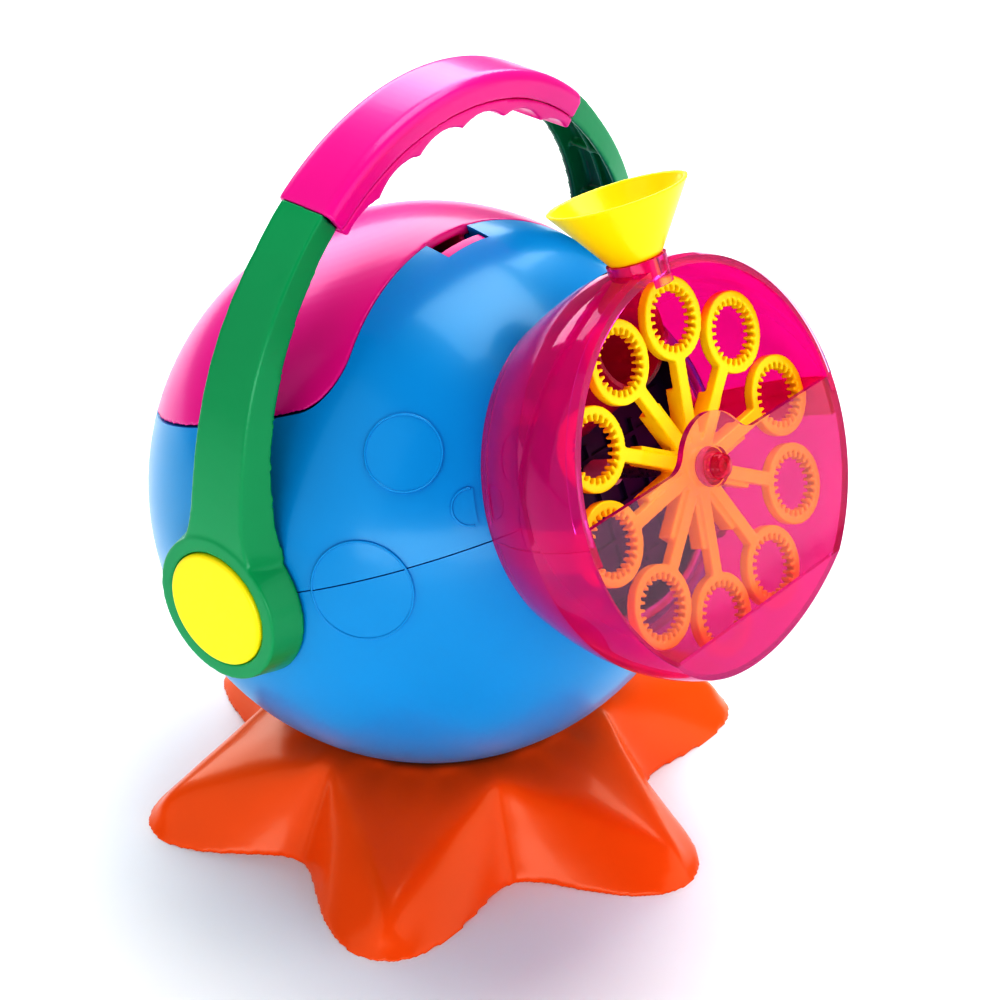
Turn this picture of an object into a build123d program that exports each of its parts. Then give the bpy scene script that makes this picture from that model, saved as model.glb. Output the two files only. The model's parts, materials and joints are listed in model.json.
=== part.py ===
"""Bubble machine: a ball-shaped head on a six-armed foot, with a wand drum and a carrying bail.

World frame: the floor is z = 0 under the middle of the foot, -Y is the front, +Z is up.
Head frame: the origin is the ball's centre and the head is upright, with the drum along -Y.
Bail frame: the origin is the ball's centre and the bail stands upright in the XZ plane.
"""
from build123d import *
from math import acos, atan2, cos, exp, hypot, log, pi, radians, sin, sqrt, tan
import os

os.makedirs("parts", exist_ok=True)

# ---- driving dimensions, mm and degrees ----
ball_radius = 80.0
shell_wall = 2.4
ball_height = 97.0        # ball's centre above the floor
ball_setback = 2.5        # ball's centre behind the middle of the foot
head_tilt = 22.5          # the head looks up by this much
bail_lean = 2.0           # the bail leans forward at rest
seam_gap = 0.15           # half of the gap between the head's halves
part_gap = 0.4            # gap between pieces that move past each other
running_gap = 0.05        # radial clearance of a turning fit
wall = 2.0                # common moulded wall
screw_radius = 1.5
screw_head_radius = 2.7
far = 300.0

# foot
foot_tip = 94.8           # floor radius at the end of an arm, before the foot's own stretch
foot_valley = 64.2        # floor radius between two arms
apex_radius = 50.4        # where a valley meets the top face
foot_length_share = 0.940 # the foot's outline is this much shorter along Y
foot_width_share = 0.985  # and this much narrower along X
foot_lead = 0.038         # share by which it reaches further to the front than to the back
apex_height = 24.9
foot_slope = 1 / 2.45     # fall of the top face per unit of radius
crest_radius = 88.0       # where an arm's top turns down at its tip
crest_spread = 7.2        # degrees from an arm's middle to half its shoulder's reach
apex_round = 12.0         # how far the shoulder swings out from the apex towards an arm
shoulder_round = 1.9      # softness of the shoulder over an arm's middle
foot_top = 28.5
foot_wall = 2.4
foot_arms = 6
plate_thickness = 2.0

# drum and wheel, along -Y in the head frame
drum_front = 107.0
drum_back = 65.6
drum_back_radius = 45.8
drum_max_radius = 55.8
drum_front_radius = 54.6
panel_top = 4.5
panel_crease = -40.0
hub_bump_radius = 14.5
wheel_front = 100.0
wheel_hub_front = 102.0
wheel_thickness = 3.0
wand_count = 10
wand_pitch_radius = 39.35
wand_outer_radius = 11.1
wheel_phase = 11.0        # a wand stands this far past the top
axle_radius = 1.95
opening_radius = 42.2     # hole in the head behind the drum
nozzle_wall = 1.3

# hood
hood_front = -36.4
hood_low = 44.2
hood_corner = 9.6
hood_wall = 2.2
notch_half = 8.4
notch_front = -43.6
hinge_y = 74.6
hinge_z = 34.0
hinge_pin_radius = 1.2

# funnel
funnel_y = -100.0
funnel_rim_radius = 18.9
funnel_rim_z = 74.9
funnel_seat_z = 57.5
spout_radius = 5.1

# bail
arm_curve_x = -7.2        # centre of the arm's curve
arm_curve_z = 34.1
arm_outer_radius = 92.5
arm_inner_radius = 85.2
arm_wall = 1.8
arm_end_angle = 56.0      # about the curve's centre, inside the grip
rib_half = 0.7
rib_recess = 3.0
rib_pitch = 13.0
rib_start = 5.5
hub_face = 87.1
hub_radius = 20.5
hub_base_radius = 23.0
cap_radius = 16.2
cap_face = 88.0
stud_radius = 5.0
grip_radius = 80.5
grip_centre_z = 44.2
grip_half_width = 9.5
grip_half_angle = 40.5
grip_parting = 73.0
finger_pitch = 14.6

# gear train
module = 0.7
pinion_teeth = 12
gear_teeth = 48
pressure_angle = 25.0
gear_distance = module * (pinion_teeth + gear_teeth) / 2
motor_z = 24.0
motor_radius = 10.0
pin_radius = 1.0
wheel_gear_hub_radius = 2.9
front_plate_y = -11.0
rear_plate_y = 5.0
gear_plate_thickness = 1.6
bulkhead_back = -60.0
bulkhead_front = -62.4
bulkhead_radius = 45.0

# battery box, four upright AA cells
cell_radius = 7.2
cell_length = 50.0
cell_pitch = 15.6
box_y = 36.0
box_top = 43.0

BOTTOM = (Align.CENTER, Align.CENTER, Align.MIN)
ball_centre = Pos(0, ball_setback, ball_height)
head_place = ball_centre * Rot(-head_tilt, 0, 0)
bail_place = ball_centre * Rot(bail_lean, 0, 0)


# ---- building blocks ----
def rod_x(radius, x0, x1, y=0, z=0):
    return Pos(x0, y, z) * Rot(0, 90, 0) * Cylinder(radius, x1 - x0, align=BOTTOM)


def rod_y(radius, y0, y1, x=0, z=0):
    return Pos(x, y0, z) * Rot(-90, 0, 0) * Cylinder(radius, y1 - y0, align=BOTTOM)


def rod_z(radius, z0, z1, x=0, y=0):
    return Pos(x, y, z0) * Cylinder(radius, z1 - z0, align=BOTTOM)


def block(x0, x1, y0, y1, z0, z1):
    centre = Pos((x0 + x1) / 2, (y0 + y1) / 2, (z0 + z1) / 2)
    return centre * Box(x1 - x0, y1 - y0, z1 - z0)


def rod_group(rods):
    group = rods[0]
    for rod in rods[1:]:
        group += rod
    return group


def above(z):
    return block(-far, far, -far, far, z, far)


def below(z):
    return block(-far, far, -far, far, -far, z)


def mirrored(shape):
    """The left-hand twin of a right-hand piece."""
    return mirror(shape, about=Plane.YZ)


def turned_y(points):
    """Solid of revolution about the Y axis from (y, radius) corners."""
    corners = [(y, radius) for y, radius in points]
    face = Plane.YZ * make_face(Polyline(*corners, close=True))
    return revolve(face, Axis.Y, 360)


def turned_x(points):
    """Solid of revolution about the X axis from (x, radius) corners."""
    face = Plane.XY * make_face(Polyline(*points, close=True))
    return revolve(face, Axis.X, 360)


def screw_y(head_y, tip_y, x, z, radius=screw_radius, head=screw_head_radius):
    """Screw along Y whose head sits at head_y and whose tip is at tip_y."""
    way = 1 if head_y > tip_y else -1
    head_end = head_y + way * 1.6
    shank = rod_y(radius, min(head_y, tip_y), max(head_y, tip_y), x, z)
    return shank + rod_y(head, min(head_y, head_end), max(head_y, head_end), x, z)


def screw_z(head_z, tip_z, x, y, radius=screw_radius, head=screw_head_radius):
    """Upright screw with its head below head_z and its tip up at tip_z."""
    return rod_z(radius, head_z, tip_z, x, y) + rod_z(head, head_z - 1.6, head_z, x, y)


# ---- foot ----
def foot_floor_radius(turn):
    """Floor radius at turn degrees from an arm's middle; 30 is a valley."""
    middle = (foot_tip + foot_valley) / 2
    swing = (foot_tip - foot_valley) / 2
    return middle + swing * cos(radians(foot_arms * turn))


def shoulder_radius(turn):
    """Radius at which the top face breaks down into an arm's side."""
    half_step = 180 / foot_arms
    spread = 1 / (1 + (turn / crest_spread) ** 2)
    valley_spread = 1 / (1 + (half_step / crest_spread) ** 2)
    share = (spread - valley_spread) / (1 - valley_spread)
    drift = apex_round * (1 - turn / half_step)
    return apex_radius + drift + (crest_radius - apex_radius - apex_round) * share


def foot_height(turn, radius):
    """Height of the foot's surface: the lower of the top face and the arm's side, blended."""
    top = apex_height - (radius - apex_radius) * foot_slope
    edge = shoulder_radius(turn)
    edge_height = apex_height - (edge - apex_radius) * foot_slope
    floor_radius = foot_floor_radius(turn)
    side = edge_height * (floor_radius - radius) / (floor_radius - edge)
    softness = 0.15 + shoulder_round * (1 - turn * foot_arms / 180)
    return -softness * log(exp(-top / softness) + exp(-side / softness)) + softness * 0.3


def foot_radius(angle, height):
    """Outer radius of the foot at an angle in degrees and a height above the floor."""
    half_step = 180 / foot_arms
    turn = abs((angle + 90 + half_step) % (2 * half_step) - half_step)
    across = foot_length_share + (foot_width_share - foot_length_share) * cos(radians(angle)) ** 2
    stretch = across - foot_lead * sin(radians(angle))
    low, high = 20.0, 120.0
    for _ in range(40):
        middle = (low + high) / 2
        if foot_height(turn, middle) > height:
            low = middle
        else:
            high = middle
    return low * stretch


def foot_section(height, inset=0.0, raised=0.0):
    """Closed outline at one height; inset and raised give the inner surface."""
    steps = foot_arms * 12
    angles = [360 / steps * step for step in range(steps)]
    radii = [foot_radius(angle, height + raised) - inset for angle in angles]
    points = [(r * cos(radians(a)), r * sin(radians(a)), height) for a, r in zip(angles, radii)]
    return Face(Wire([Spline(*points, periodic=True)]))


def foot_levels(top):
    return [0, 5, 10, 15, 20, 24, top]


def make_base_skirt():
    outer = loft([foot_section(z) for z in foot_levels(foot_top)])
    hollow_top = foot_top - foot_wall - 0.2
    hollow = loft([foot_section(z, foot_wall, foot_wall) for z in foot_levels(hollow_top)])
    dish = ball_centre * Sphere(ball_radius + foot_wall)
    seat = ball_centre * Sphere(ball_radius)
    skirt = outer - (hollow - dish)
    posts = rod_group([rod_z(3.6, plate_thickness, foot_top, x, y) for x, y in plate_screw_places()])
    skirt += posts & outer
    for x, y in plate_screw_places():
        skirt -= rod_z(screw_radius, 0, 10, x, y)
    skirt -= seat
    for x, y in head_screw_places():
        skirt -= rod_z(screw_radius + 0.2, 0, foot_top, x, y)
    return skirt


def plate_screw_places():
    return around(70.0, foot_arms, -90)


def head_screw_places():
    return [(x, y + ball_setback) for x, y in around(24.0, 4, 45)]


def around(radius, count, start):
    angles = [start + 360 / count * step for step in range(count)]
    return [(radius * cos(radians(a)), radius * sin(radians(a))) for a in angles]


def make_base_plate():
    plate = extrude(foot_section(0, foot_wall + 0.5, plate_thickness), plate_thickness)
    for x, y in plate_screw_places():
        plate -= rod_z(screw_radius + 0.2, 0, plate_thickness, x, y)
        plate -= rod_z(screw_head_radius + 0.2, 0, 1.2, x, y)
    for x, y in head_screw_places():
        plate -= rod_z(screw_head_radius + 1.5, 0, plate_thickness, x, y)
    return plate


def make_base_screws():
    shape = None
    for x, y in plate_screw_places():
        screw = rod_z(screw_radius, 1.2, 9.5, x, y) + rod_z(screw_head_radius, 0.1, 1.2, x, y)
        shape = screw if shape is None else shape + screw
    return shape


def dish_under(x, y):
    """Height of the dish's lower face above the floor at (x, y)."""
    reach = hypot(x, y - ball_setback)
    return ball_height - sqrt((ball_radius + foot_wall) ** 2 - reach ** 2)


def make_head_screws():
    """Screws up through the foot's dish into the lower shell; their heads sit in round washers."""
    shape = None
    for x, y in head_screw_places():
        under = dish_under(x, y)
        screw = screw_z(under - 1.5, under + 13, x, y)
        shape = screw if shape is None else shape + screw
    return shape


# ---- head shells ----
def ball_wall(outer=ball_radius, thickness=shell_wall):
    return Sphere(outer) - Sphere(outer - thickness)


def hood_zone(grow=0.0):
    """The hood's share of the head: a prism along X with one rounded corner, grown outward."""
    y0 = hood_front - grow
    z0 = hood_low - grow
    reach = 160.0
    face = Pos(y0 + reach / 2, z0 + reach / 2) * Rectangle(reach, reach)
    corner = face.vertices().sort_by(Axis.X)[:2].sort_by(Axis.Y)[0]
    face = fillet(corner, hood_corner + grow)
    return Plane.YZ.offset(-100) * extrude(face, 200)


def drum_opening():
    return rod_y(opening_radius, -far, -45)


def shell_screw_places():
    return [(-50, 36), (50, 36), (-32, 8), (32, 8)]


def stud_seat(side):
    """Flat pad inside the shell around a pivot stud."""
    return rod_x(12, 74.0, 78.0) if side > 0 else rod_x(12, -78.0, -74.0)


def spots():
    """Shallow raised round spots on the front of the head: direction (x, y, z) and radius."""
    front = [((0.669, -0.653, 0.354), 10.2), ((0.876, -0.480, -0.038), 13.8), ((0.60, -0.80, 0.13), 5.0)]
    return front + [((-d[0], d[1], d[2]), radius) for d, radius in front]


def make_spots():
    """All the spots as thin caps standing 0.5 mm proud of the ball."""
    shape = None
    skin = Sphere(ball_radius + 0.5) - Sphere(ball_radius - 0.5)
    for direction, radius in spots():
        plane = Plane(origin=(0, 0, 0), z_dir=direction)
        cap = (plane * Cylinder(radius, 100, align=BOTTOM) & skin) - rod_y(48.0, -far, -60)
        shape = cap if shape is None else shape + cap
    return shape


def switch_slot():
    return block(-6.5, 6.5, 60, 90, -24.4, -19.6)


def make_lower_shell():
    shell = ball_wall() & below(-seam_gap)
    lip = rod_z(77.9, -5, -seam_gap) + rod_z(77.3, -5, 3) - rod_z(75.7, -6, 4)
    lip -= block(-60, 60, -90, -20, -10, 10)
    for side in (-1, 1):
        shell += stud_seat(side) & below(-seam_gap) & Sphere(78)
        lip -= block(side * 78 - 22, side * 78 + 22, -14, 14, -10, 10)
    shell += lip
    inside = Sphere(ball_radius - 1)
    for x, y in shell_screw_places():
        shell += rod_z(4.5, -70, -seam_gap, x, y) & inside
    shell += make_spots() & below(-seam_gap)
    for x, y in shell_screw_places():
        shell -= rod_z(screw_head_radius + 0.3, -90, -12, x, y)
        shell -= rod_z(screw_radius + 0.2, -14, 1, x, y)
    shell -= drum_opening()
    shell -= rod_x(stud_radius + running_gap, -90, 90)
    shell -= switch_slot()
    placed = head_place * shell
    ball_inside = ball_centre * Sphere(ball_radius - 1)
    for x, y in head_screw_places():
        under = dish_under(x, y)
        placed += rod_z(4.0, under, under + 16, x, y) & ball_inside
        placed -= rod_z(screw_radius, 0, under + 13, x, y)
    return placed


def make_upper_shell():
    shell = ball_wall() & above(seam_gap)
    shell -= hood_zone(part_gap)
    shell += (hood_zone(part_gap + wall) - hood_zone(part_gap)) & Sphere(ball_radius - 1) & above(20)
    under_hood = Sphere(ball_radius - hood_wall - part_gap)
    pocket = block(-notch_half - 2, notch_half + 2, notch_front - 2, hood_front + 6, 59, 90)
    pocket -= hood_zone(part_gap) - under_hood
    shell += pocket & Sphere(ball_radius - 1)
    shell -= block(-notch_half, notch_half, notch_front, hood_front + 8, 61, 90)
    inside = Sphere(ball_radius - 1)
    for side in (-1, 1):
        shell += stud_seat(side) & above(seam_gap) & Sphere(78)
    for x, y in shell_screw_places():
        shell += rod_z(4.0, seam_gap, hood_low - 1, x, y) & inside
        shell -= rod_z(screw_radius, 0, 11, x, y)
    shell += make_spots() & above(seam_gap)
    shell -= drum_opening()
    shell -= rod_x(stud_radius + running_gap, -90, 90)
    # recess and outer knuckles of the hood hinge
    tab_room = block(-13.4, 13.4, 60, 90, hinge_z - 4.2, hood_low + 1)
    shell -= tab_room
    back_wall = block(-15.4, 15.4, 60, 68.6, hinge_z - 6, hood_low - part_gap)
    back_wall -= tab_room - under_hood
    shell += back_wall & Sphere(ball_radius - 1)
    for side in (-1, 1):
        x0, x1 = sorted((side * 13.8, side * 20.0))
        arm = block(x0, x1, 66, hinge_y, hinge_z - 2.8, hinge_z + 2.8) - Sphere(ball_radius - 2)
        shell += arm + rod_x(2.8, x0, x1, hinge_y, hinge_z)
    shell -= rod_x(hinge_pin_radius, -25, 25, hinge_y, hinge_z)
    # mouth of the battery box in the deck
    shell -= block(-box_half() - 0.1, box_half() + 0.1, box_front() - 0.1, box_back() + 0.1, 30, box_top + 1)
    return head_place * shell


def make_shell_screws():
    shape = None
    for x, y in shell_screw_places():
        screw = screw_z(-12, 10, x, y)
        shape = screw if shape is None else shape + screw
    return head_place * shape


# ---- hood and latch ----
def make_hood():
    hood = (Sphere(ball_radius) - Sphere(ball_radius - hood_wall)) & hood_zone()
    hood -= block(-notch_half, notch_half, -60, hood_front + 0.2, 50, 90)
    # hinge tab, which fills a recess in the upper shell
    tab = ball_wall(ball_radius, hood_wall) & block(-13, 13, 50, 90, hinge_z, hood_low + 1)
    knuckle = rod_x(2.8, -13, 13, hinge_y, hinge_z)
    web = block(-13, 13, 72.2, hinge_y, hinge_z, hinge_z + 2.8)
    hood += tab + knuckle + web
    hood -= rod_x(hinge_pin_radius + running_gap, -20, 20, hinge_y, hinge_z)
    # rails that carry the latch, and the stop behind its spring
    for side in (-1, 1):
        x0, x1 = sorted((side * 6.4, side * 8.0))
        rail = block(x0, x1, hood_front + 1, -18, 62.0, 80)
        x0, x1 = sorted((side * 4.6, side * 8.0))
        rail += block(x0, x1, hood_front + 1, -18, 62.0, 63.4)
        hood += rail & Sphere(ball_radius - 1)
    hood += block(-8, 8, -18, -16.4, 62.0, 80) & Sphere(ball_radius - 1)
    return head_place * hood


def make_hood_hinge_pin():
    return head_place * rod_x(hinge_pin_radius, -20.5, 20.5, hinge_y, hinge_z)


def make_hood_latch():
    """Sliding latch: a finger bar in the notch on a tongue that runs between the hood's rails."""
    bar = block(-notch_half + 0.5, notch_half - 0.5, notch_front + 0.4, notch_front + 3.0, 61.5, 80)
    bar &= Sphere(ball_radius - 0.6)
    tongue = block(-6.0, 6.0, notch_front + 1, -24.5, 63.8, 65.4)
    return head_place * (bar + tongue)


def make_latch_spring():
    """Short compression spring between the latch's tongue and the hood's stop."""
    coil = Helix(pitch=1.5, height=5.4, radius=1.6)
    start = Plane(origin=coil @ 0, z_dir=coil % 0)
    wire = sweep(start * Circle(0.25), path=coil)
    return head_place * (Pos(0, -24.1, 65.4) * Rot(-90, 0, 0) * wire)


# ---- drum ----
def drum_profile(inset):
    """Half section of the drum from its axis out, as a face in the YZ plane."""
    outline = Spline(
        (-drum_back, drum_back_radius - inset),
        (-78, 51.5 - inset),
        (-99, drum_max_radius - inset),
        (-drum_front, drum_front_radius - inset),
    )
    first = outline @ 0
    last = outline @ 1
    axis_line = Polyline((last.X, last.Y), (last.X, 0), (first.X, 0), (first.X, first.Y))
    face = make_face([outline, axis_line])
    return Plane.YZ * face


def drum_body(inset=0.0):
    return revolve(drum_profile(inset), Axis.Y, 360)


def drum_shell():
    core = drum_body(wall)
    core += rod_y(drum_front_radius - wall, -drum_front - 1, -100)
    core += rod_y(drum_back_radius - wall, -78, -60)
    return drum_body() - core


def drum_screw_places():
    return around(39.6, 4, 45)


def back_flange():
    """Ring at the drum's back, against the bulkhead's collar, with its screw bosses."""
    ring = rod_y(45.6, -70.0, -68.2) - rod_y(35.5, -71, -60)
    for x, z in drum_screw_places():
        ring += rod_y(3.4, -75, -68.2, x, z)
    return ring & drum_body(0.5)


def make_drum_cover():
    cover = drum_shell() & above(0.1)
    cover += back_flange() & above(panel_top + 0.3)
    bead = turned_y([(-drum_front, 53.0), (-drum_front, 54.8), (-104.6, 55.6), (-104.6, 53.4)])
    cover += bead & above(panel_top + 0.3)
    cover += rod_z(8.0, 50, funnel_seat_z, 0, funnel_y) - drum_body(wall + 0.4)
    cover -= rod_z(spout_radius + running_gap, 40, 70, 0, funnel_y)
    cover -= rod_y(opening_radius - 0.2, -68.1, -50)
    cover -= nozzle_solid(nozzle_wall + 0.3)
    for x, z in drum_screw_places():
        cover -= rod_y(screw_radius, -74, -60, x, z)
    cover -= Sphere(ball_radius)
    return head_place * cover


def make_solution_tank():
    tank = drum_shell() & below(0)
    lip = drum_body(wall + 0.15) - drum_body(2 * wall)
    lip -= rod_y(drum_front_radius - 2 * wall, -120, -100)
    tank += lip & below(panel_top) & above(-6) & block(-far, far, -far, -70, -far, far)
    back = rod_y(45.6, -70.0, -68.2) & drum_body(0.5) & below(0)
    back += rod_y(drum_back_radius - wall + 0.8, -70.0, -68.2) & below(panel_top)
    for x, z in drum_screw_places():
        if z < 0:
            back += rod_y(3.4, -75, -68.2, x, z) & drum_body(0.5)
    back += rod_y(8, -70.0, -68.2)
    tank += back
    panel = panel_plate()
    panel += rod_y(5.4, -drum_front + 1, -103.0)
    tank += panel
    tank = tank - slope_cut() + slope_wall()
    tank -= rod_y(3.6, -120, -60)
    tank -= rod_y(opening_radius - 0.2, -68.1, -50)
    for x, z in drum_screw_places():
        tank -= rod_y(screw_radius, -74, -60, x, z)
    tank -= Sphere(ball_radius)
    return head_place * tank


def panel_plate():
    """Flat front of the tank: a slice of a disc with a round bump for the hub, filleted into it."""
    face = Circle(54.0) & Pos(0, panel_crease / 2) * Rectangle(200, -panel_crease)
    face += Circle(drum_front_radius - wall - 0.2) & Pos(0, panel_top / 2) * Rectangle(200, panel_top)
    face += Circle(hub_bump_radius)
    corners = [v for v in face.vertices() if abs(v.Y - panel_top) < 0.01 and abs(v.X) < 20]
    face = fillet(corners, 7.0)
    return Pos(0, -drum_front + 1.8, 0) * extrude(Plane.XZ * face, 1.8)


def slope_plane():
    """The tank's front slopes back below the crease."""
    return Plane(origin=(0, -drum_front, panel_crease), x_dir=(1, 0, 0), z_dir=(0, -15.2, -5.5))


def slope_cut():
    return slope_plane() * (Pos(0, -30, 0) * Box(140, 60, 30, align=BOTTOM))


def slope_wall():
    slab = slope_plane() * (Pos(0, -30, -1.8) * Box(140, 60.0, 1.8, align=BOTTOM))
    return slab & drum_body(0.3) & below(panel_crease + 0.3)


# ---- wheel ----
def wand_face():
    """Front outline of one wand, pointing up: toothed ring and rib."""
    ring = Circle(wand_outer_radius) - Circle(wand_outer_radius - 2.2)
    tooth_count = 24
    tooth = Pos(0, wand_outer_radius - 2.7) * Rectangle(0.9, 2.6)
    for step in range(tooth_count):
        ring += Rot(0, 0, 360 / tooth_count * step) * tooth
    start = wand_pitch_radius - wand_outer_radius + 1.0
    rib = Pos(0, (4 + start) / 2) * Rectangle(3.8, start - 4)
    return Pos(0, wand_pitch_radius) * ring + rib


def blade_face():
    """The wider blade behind the inner part of a wand's rib."""
    end = wand_pitch_radius - wand_outer_radius - 7.0
    return Pos(0.65, (4 + end) / 2) * Rectangle(5.1, end - 4)


def make_wand_wheel():
    front = Circle(7.2)
    rear = Circle(7.2)
    for step in range(wand_count):
        turn = Rot(0, 0, -(wheel_phase + 360 / wand_count * step))
        front += turn * wand_face()
        rear += turn * blade_face()
    front -= Circle(axle_radius)
    rear -= Circle(axle_radius)
    back = -wheel_front + wheel_thickness
    wheel = Pos(0, back, 0) * extrude(Plane.XZ * front, wheel_thickness)
    wheel += Pos(0, back + 2.4, 0) * extrude(Plane.XZ * rear, wheel_thickness + 1.4)
    wheel += rod_y(5.0, -wheel_hub_front, back) - rod_y(axle_radius, -110, -80)
    return head_place * wheel


def make_wheel_axle():
    return head_place * rod_y(axle_radius, -drum_front - 1.4, rear_plate_y + 2.4)


def make_front_bush():
    flange = rod_y(5.0, -103.0, -102.2)
    bush = rod_y(3.6, -drum_front - 0.8, -102.2) + flange
    return head_place * (bush - rod_y(axle_radius + running_gap, -120, -90))


def make_rear_bush():
    bush = rod_y(3.6, -70.6, -58.4) + rod_y(5.2, bulkhead_back, -58.4)
    return head_place * (bush - rod_y(axle_radius + running_gap, -80, -50))


# ---- bulkhead, nozzle and fan ----
def post_places():
    """Posts that carry the gear train, clear of every gear."""
    return [(24, 22), (21, -10), (-6, -28.5), (-22, 34)]


def make_bulkhead():
    plate = rod_y(bulkhead_radius, bulkhead_front, bulkhead_back)
    plate += rod_y(41.8, -68.1, bulkhead_front) - rod_y(39.8, -70, -50)
    for x, z in drum_screw_places():
        plate += rod_y(4.0, -68.1, bulkhead_front, x, z) & rod_y(41.8, -80, -50)
    # moulded grille lines on the front
    for step in range(-3, 4):
        plate += block(step * 10 - 0.6, step * 10 + 0.6, bulkhead_front - 1.2, bulkhead_front, -30, 8)
        plate += block(-34, 34, bulkhead_front - 1.2, bulkhead_front, step * 8 - 12.6, step * 8 - 11.4)
    plate -= rod_y(13.2, -80, -50, 0, motor_z)
    for x, z in post_places():
        plate += rod_y(3.0, bulkhead_back, front_plate_y, x, z)
        plate -= rod_y(screw_radius, -24, front_plate_y, x, z)
    for x, z in drum_screw_places():
        plate -= rod_y(screw_radius + 0.2, -80, -50, x, z)
    plate -= rod_y(3.6, -80, -50)
    # the plate is cut to the inside of the ball
    return head_place * (plate & Sphere(ball_radius - shell_wall - 0.1) + collar_keep(plate))


def collar_keep(plate):
    """The part of the bulkhead that stands in the opening, outside the ball's inner face."""
    return plate & rod_y(41.8, -70, bulkhead_front + 0.1)


def nozzle_solid(grow=0.0):
    """Slanted round duct from the fan up to the topmost wand."""
    back = Plane(origin=(0, -58.4, motor_z), z_dir=(0, -1, 0), x_dir=(1, 0, 0))
    middle = Plane(origin=(0, -64.0, motor_z), z_dir=(0, -1, 0), x_dir=(1, 0, 0))
    mouth = Plane(origin=(0, -90.0, 37.0), z_dir=(0, -1, 0), x_dir=(1, 0, 0))
    base = extrude(back * Circle(11.8 + grow), 6.0)
    slanted = loft([middle * Circle(11.8 + grow), mouth * Circle(12.6 + grow)])
    return base + slanted


def make_air_nozzle():
    nozzle = nozzle_solid(nozzle_wall) - nozzle_solid()
    flange = rod_y(15.2, -59.9, -58.4, 0, motor_z) - rod_y(11.8, -70, -50, 0, motor_z)
    return head_place * (nozzle + flange)


def make_fan_housing():
    cup = rod_y(17.0, -58.4, -42.0, 0, motor_z) - rod_y(15.4, -56.8, -40, 0, motor_z)
    cup -= rod_y(11.8, -60, -50, 0, motor_z)
    rear = rod_y(17.0, -42.0, -40.6, 0, motor_z) - rod_y(13.2, -43, -39, 0, motor_z)
    cup += rear
    for side in (-1, 1):
        x0, x1 = sorted((side * 9.8, side * 14))
        cup += block(x0, x1, -42.0, -34, motor_z - 3, motor_z + 3)
    return head_place * (cup - rod_y(motor_radius + 0.1, -41.9, -30, 0, motor_z))


def make_fan_impeller():
    """Fan with a domed hub and seven pitched blades."""
    hub = rod_y(5.0, -55.6, -45.0, 0, motor_z)
    blade_count = 7
    fan = hub
    for step in range(blade_count):
        blade = Rot(0, 0, 35) * Box(1.3, 9.5, 10.4, align=BOTTOM)
        blade = Pos(0, -50.3, motor_z) * Rot(0, 360 / blade_count * step, 0) * Pos(0, 0, 4.2) * blade
        fan += blade
    fan &= rod_y(14.7, -56.2, -44.4, 0, motor_z)
    return head_place * (fan - rod_y(pin_radius, -60, -40, 0, motor_z))


# ---- motor and gears ----
def idler_places():
    """Axes (x, z) of the two idlers between the motor and the wheel's axle."""
    lean = radians(216)
    first = (gear_distance * cos(lean), motor_z + gear_distance * sin(lean))
    half = hypot(*first) / 2
    side = sqrt(gear_distance ** 2 - half ** 2)
    across = (first[1] / (2 * half), -first[0] / (2 * half))
    second = (first[0] / 2 - side * across[0], first[1] / 2 - side * across[1])
    return first, second


def tooth_spread(radius, teeth, thinning):
    """Half angle of an involute tooth at a radius."""
    pitch = module * teeth / 2
    base = pitch * cos(radians(pressure_angle))
    angle = acos(min(base / radius, 1.0))
    pitch_angle = radians(pressure_angle)
    involute = (tan(pitch_angle) - pitch_angle) - (tan(angle) - angle)
    return pi / (2 * teeth) * thinning + involute


def gear(teeth, y0, y1, place, phase):
    """Spur gear along Y; phase is the angle of one tooth from +X towards +Z."""
    pitch = module * teeth / 2
    base = pitch * cos(radians(pressure_angle))
    tip = pitch + module
    root = pitch - 1.3 * module
    foot = max(base, root + 0.05)
    flank = [foot + (tip - foot) * step / 3 for step in range(4)]
    points = []
    for tooth in range(teeth):
        centre = radians(phase) + 2 * pi * tooth / teeth
        rising = [(root, -tooth_spread(foot, teeth, 0.86))]
        rising += [(r, -tooth_spread(r, teeth, 0.86)) for r in flank]
        falling = [(r, -spread) for r, spread in reversed(rising)]
        for r, spread in rising + falling:
            points.append((r * cos(centre + spread), r * sin(centre + spread)))
    face = make_face(Polyline(*points, close=True))
    solid = extrude(Plane.XZ * face, y1 - y0)
    return Pos(place[0], y1, place[1]) * solid


def mesh_phase(driver_place, driver_phase, driver_teeth, place, teeth):
    """Phase that sets a gear's space opposite the driver's tooth on their line of centres."""
    line = atan2(place[1] - driver_place[1], place[0] - driver_place[0]) * 180 / pi
    offset = driver_phase - line
    return line + 180 + 180 / teeth - offset * driver_teeth / teeth


def gear_phases():
    """Phases of the wheel gear, the two idlers' gears and the motor pinion, meshed in a row."""
    first, second = idler_places()
    wheel_gear = 0.0
    second_pinion = mesh_phase((0, 0), wheel_gear, gear_teeth, second, pinion_teeth)
    first_pinion = mesh_phase(second, second_pinion, gear_teeth, first, pinion_teeth)
    motor = mesh_phase(first, first_pinion, gear_teeth, (0, motor_z), pinion_teeth)
    return wheel_gear, second_pinion, first_pinion, motor


def make_idler(place, phase, big_y0, pinion_y1, sleeve_y1):
    """Compound gear: a large gear in front, its pinion and a sleeve up to the rear plate."""
    big = gear(gear_teeth, big_y0, big_y0 + 2.8, place, phase)
    small = gear(pinion_teeth, big_y0 + 2.8, pinion_y1, place, phase)
    sleeve = rod_y(2.0, pinion_y1, sleeve_y1, *place)
    hub = rod_y(2.0, front_plate_y + gear_plate_thickness + 0.3, big_y0, *place)
    bore = rod_y(pin_radius + running_gap, -20, 20, *place)
    return head_place * (big + small + sleeve + hub - bore)


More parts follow.
